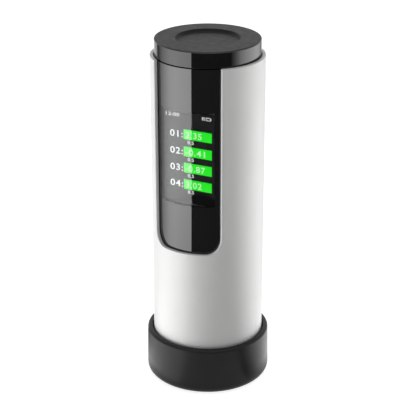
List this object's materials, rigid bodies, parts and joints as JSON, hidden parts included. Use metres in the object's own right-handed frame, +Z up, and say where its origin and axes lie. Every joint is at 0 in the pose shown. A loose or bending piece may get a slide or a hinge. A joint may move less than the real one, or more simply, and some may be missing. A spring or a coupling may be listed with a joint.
{
  "type": "color meter",
  "caption": "Pocket color meter: an upright white tube with a black display window and a press-down black cap, standing in a black calibration dock.",
  "frame": {"origin": "centre of the dock's rubber foot, on the surface that it stands on", "axes": "+Z up along the meter's axis, -Y the way the display faces"},
  "size_m": [0.035, 0.035, 0.099],
  "materials": {
    "sleeve_white": "smooth satin gloss",
    "cap_black": "polished side and satin top",
    "dock_black": "fine satin",
    "window_tint": "polished, dark tint",
    "shell_black": "moulded",
    "rubber_black": "soft matte",
    "foam_grey": "closed-cell foam",
    "tile_white": "glazed white",
    "magnet_nickel": "nickel plated",
    "screw_steel": "turned steel",
    "aperture_black": "black anodised",
    "optic_glass": "polished, clear",
    "sphere_white": "chalk-white diffuser",
    "board_green": "solder mask",
    "chip_black": "moulded chip body",
    "can_steel": "tinned shield",
    "led_cream": "lamp body",
    "lcd_glass": "polarised display glass",
    "light_guide": "white light guide",
    "flex_amber": "polyimide film",
    "connector_beige": "moulded connector",
    "battery_wrap": "shrink-wrapped cell",
    "socket_steel": "drawn steel shell",
    "spring_steel": "drawn wire",
    "switch_grey": "moulded switch"
  },
  "bodies": {
    "dock": {"dock_cup": "dock_black", "foot_ring": "rubber_black", "tile_pad": "foam_grey", "white_tile": "tile_white", "tile_ring": "dock_black", "dock_magnets": "magnet_nickel"},
    "meter": {"sleeve": "sleeve_white", "display_window": "window_tint", "front_shell": "shell_black", "rear_shell": "shell_black", "shell_screws": "screw_steel", "bottom_ring": "shell_black", "ring_magnets": "magnet_nickel", "ring_screws": "screw_steel", "aperture_ring": "aperture_black", "port_glass": "optic_glass", "sphere_lower": "sphere_white", "sphere_upper": "sphere_white", "led_board": "board_green", "leds": "led_cream", "lens_barrel": "aperture_black", "lens": "optic_glass", "light_shroud": "rubber_black", "sensor_board": "board_green", "sensor_chip": "chip_black", "board_spacers": "screw_steel", "optics_screws": "screw_steel", "usb_board": "board_green", "usb_port": "socket_steel", "main_board": "board_green", "processor": "chip_black", "radio_module": "can_steel", "flex_connector": "connector_beige", "flex_cable": "flex_amber", "display_tray": "shell_black", "backlight": "light_guide", "lcd_panel": "lcd_glass", "battery": "battery_wrap", "battery_pad": "foam_grey", "switch_board": "board_green", "tact_switch": "switch_grey", "cap_spring": "spring_steel"},
    "button": {"measure_cap": "cap_black", "switch_plunger": "switch_grey"}
  },
  "joints": [
    {"name": "lift_out", "type": "slide", "parent": "dock", "child": "meter", "axis": [0, 0, 1], "range_m": [0, 0.04]},
    {"name": "press", "type": "slide", "parent": "meter", "child": "button", "axis": [0, 0, -1], "range_m": [0, 0.00025], "stiffness_N_per_m": 1500, "springref_m": -0.001, "deforming": ["cap_spring"]}
  ]
}
